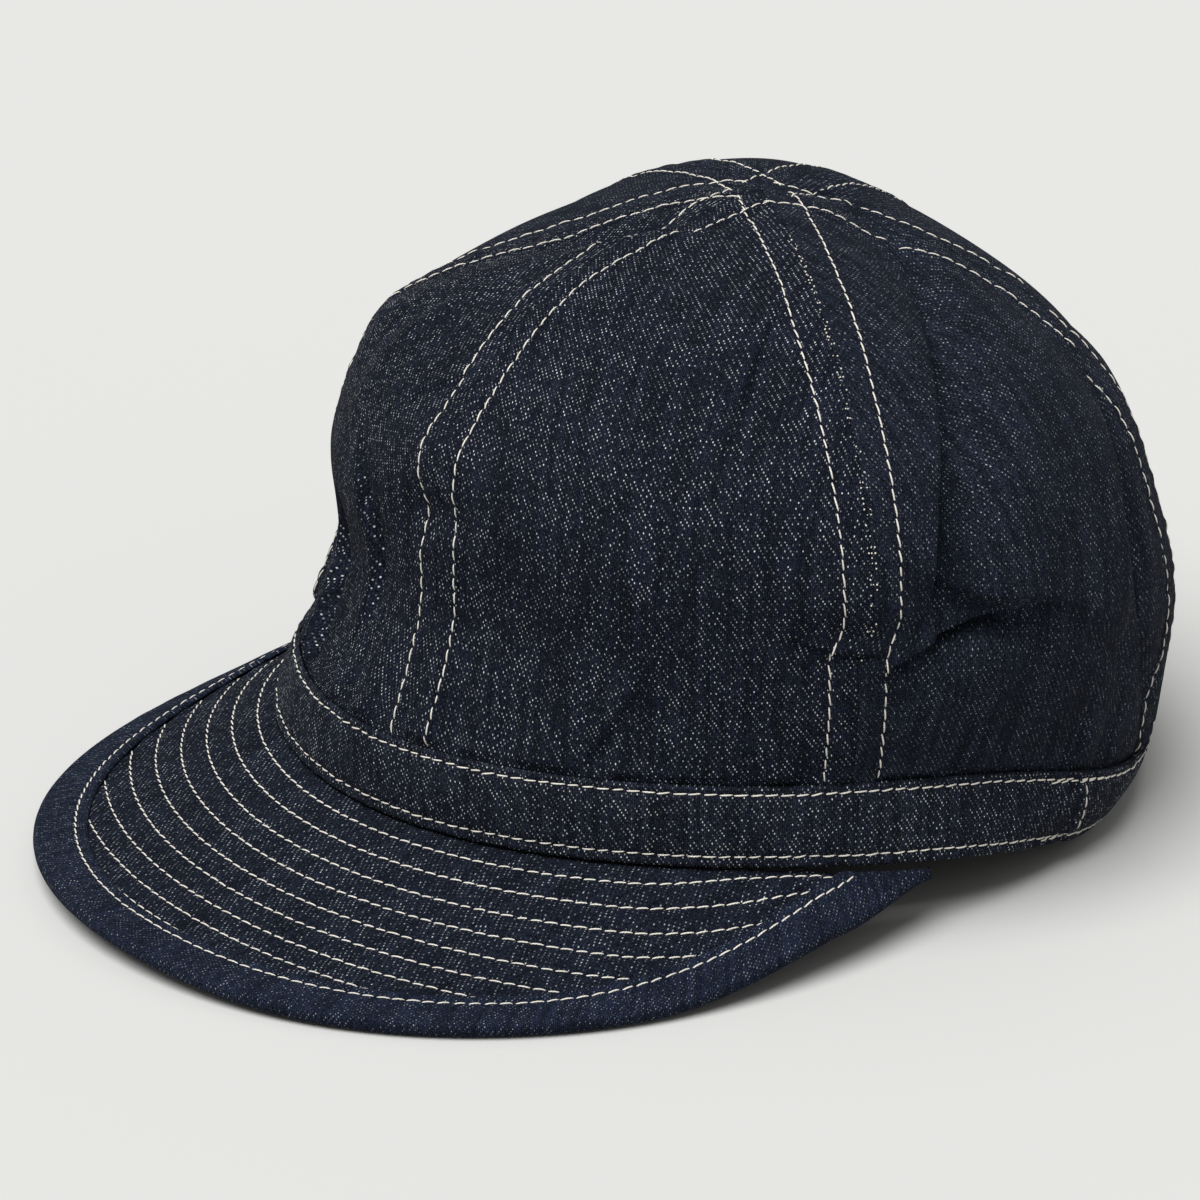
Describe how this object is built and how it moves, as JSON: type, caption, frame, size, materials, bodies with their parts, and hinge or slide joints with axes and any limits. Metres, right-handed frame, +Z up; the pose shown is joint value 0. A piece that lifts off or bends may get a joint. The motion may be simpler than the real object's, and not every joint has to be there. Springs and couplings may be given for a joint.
{
  "type": "work cap",
  "caption": "Soft denim work cap with a panelled crown, a stitched band and a quilted, bound peak.",
  "frame": {"origin": "bottom centre of the cap's bounding box, on the surface that it lies on", "axes": "+Z up, the peak points to -Y, the wearer's left is +X"},
  "size_m": [0.2051, 0.2611, 0.1357],
  "materials": {
    "denim": "raw indigo twill, matte",
    "band_denim": "raw indigo twill, matte",
    "binding_denim": "raw indigo twill, matte",
    "thread": "cream sewing thread, matte"
  },
  "bodies": {
    "root": {"front_left_panel": "denim", "left_panel": "denim", "back_left_panel": "denim", "back_right_panel": "denim", "right_panel": "denim", "front_right_panel": "denim", "band": "band_denim", "peak": "denim", "peak_binding": "binding_denim"}
  },
  "joints": []
}
